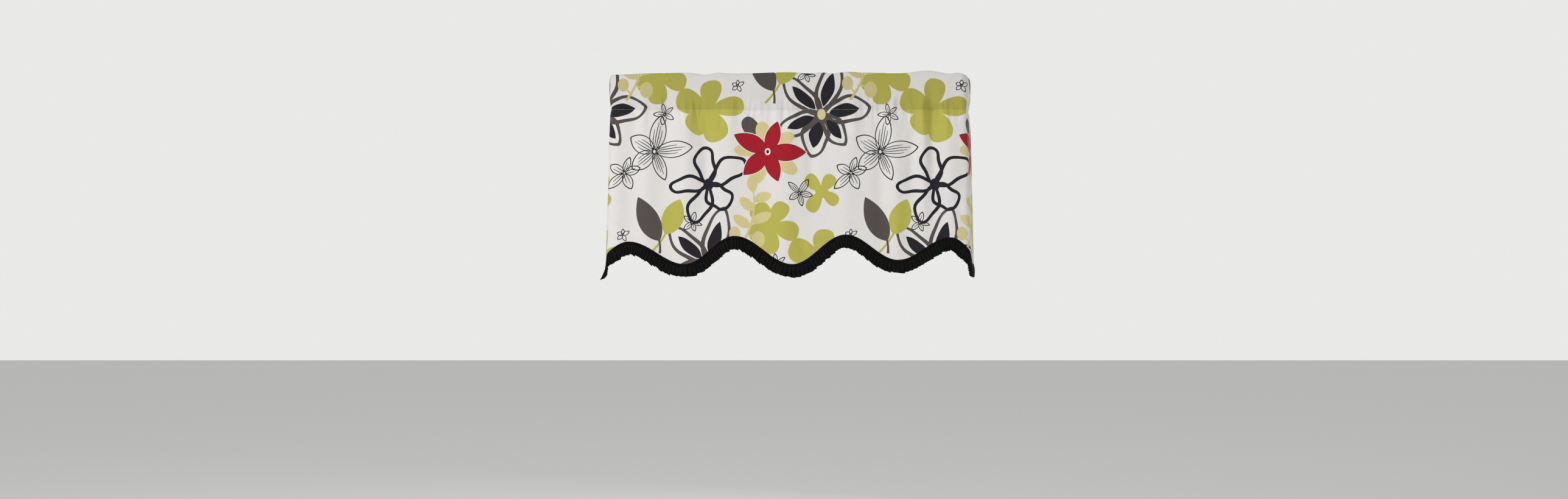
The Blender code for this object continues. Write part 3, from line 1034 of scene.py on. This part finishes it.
# ---- floor, light and camera -----------------------------------------------------
FLOOR = -1.45
FLOOR_SIZE = 24
FLOOR_PAINT = (0.86, 0.855, 0.84, 1)
FLOOR_GLOW = (1, 0.99, 0.97, 1)
STUDIO_TONE = (0.86, 0.87, 0.88, 1)
SURROUND_TONE = (0.93, 0.93, 0.92, 1)
Lamp = namedtuple("Lamp", "name stands aim size power")
LAMPS = (
    Lamp("key", (-3.2, -2.7, 0.5), (0, 0, -0.2), 0.8, 80),
    Lamp("fill", (2.6, -2.8, -0.4), (0.1, 0, -0.2), 1.8, 26),
    Lamp("behind", (1.2, 2.8, 0.4), (0, 0, -0.2), 1.6, 34),
    Lamp("overhead", (0, -0.6, 2.4), (0, 0.2, FLOOR), 2.6, 20),
)
VIEW_FROM = (-0.0104, -3.404, -0.379)
LENS = 36.55
FILM_WIDTH = 36


def add_lamp(lamp):
    data = bpy.data.lights.new(lamp.name, "AREA")
    data.size = lamp.size
    data.energy = lamp.power
    hung = bpy.data.objects.new(lamp.name, data)
    bpy.context.scene.collection.objects.link(hung)
    hung.location = lamp.stands
    direction = Vector(lamp.aim) - Vector(lamp.stands)
    hung.rotation_euler = direction.to_track_quat("-Z", "Y").to_euler()


def pale_surround(tree):
    """What is seen past the valance is paler than the light that falls on it."""
    seen = add_node(tree, "ShaderNodeBackground", Color=SURROUND_TONE, Strength=0.88)
    path = add_node(tree, "ShaderNodeLightPath")
    mixed = add_node(tree, "ShaderNodeMixShader")
    tree.links.new(path.outputs["Is Camera Ray"], mixed.inputs[0])
    tree.links.new(tree.nodes["Background"].outputs[0], mixed.inputs[1])
    tree.links.new(seen.outputs[0], mixed.inputs[2])
    tree.links.new(mixed.outputs[0], tree.nodes["World Output"].inputs["Surface"])


def build_stage():
    bpy.ops.object.select_all(action="DESELECT")
    bpy.ops.mesh.primitive_plane_add(size=FLOOR_SIZE, location=(0, 0, FLOOR))
    floor = bpy.context.object
    floor.name = "floor"
    paint = bpy.data.materials.new("pale_floor")
    paint.use_nodes = True
    shader = paint.node_tree.nodes["Principled BSDF"]
    shader.inputs["Base Color"].default_value = FLOOR_PAINT
    shader.inputs["Roughness"].default_value = 0.9
    shader.inputs["Emission Color"].default_value = FLOOR_GLOW
    shader.inputs["Emission Strength"].default_value = 0.22
    floor.data.materials.append(paint)

    world = bpy.data.worlds.new("studio")
    world.use_nodes = True
    studio = world.node_tree.nodes["Background"]
    studio.inputs["Color"].default_value = STUDIO_TONE
    studio.inputs["Strength"].default_value = 0.33
    pale_surround(world.node_tree)
    bpy.context.scene.world = world
    for lamp in LAMPS:
        add_lamp(lamp)

    bpy.context.scene.view_settings.view_transform = "Standard"
    optics = bpy.data.cameras.new("camera")
    optics.lens = LENS
    optics.sensor_width = FILM_WIDTH
    camera = bpy.data.objects.new("camera", optics)
    bpy.context.scene.collection.objects.link(camera)
    camera.location = VIEW_FROM
    camera.rotation_euler = (pi / 2, 0, 0)
    bpy.context.scene.camera = camera


build_stage()
cloth = build_cloth()
stitches = build_stitches()
band = build_band()
pleats = build_pleats()

for piece, slot_name in ((cloth, "printed_cotton"), (stitches, "printed_cotton"),
                         (band, "black_band"), (pleats, "black_pleats")):
    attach(piece, "root")
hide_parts("valance_cloth")
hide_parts("trim_band")
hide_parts("pleated_trim")

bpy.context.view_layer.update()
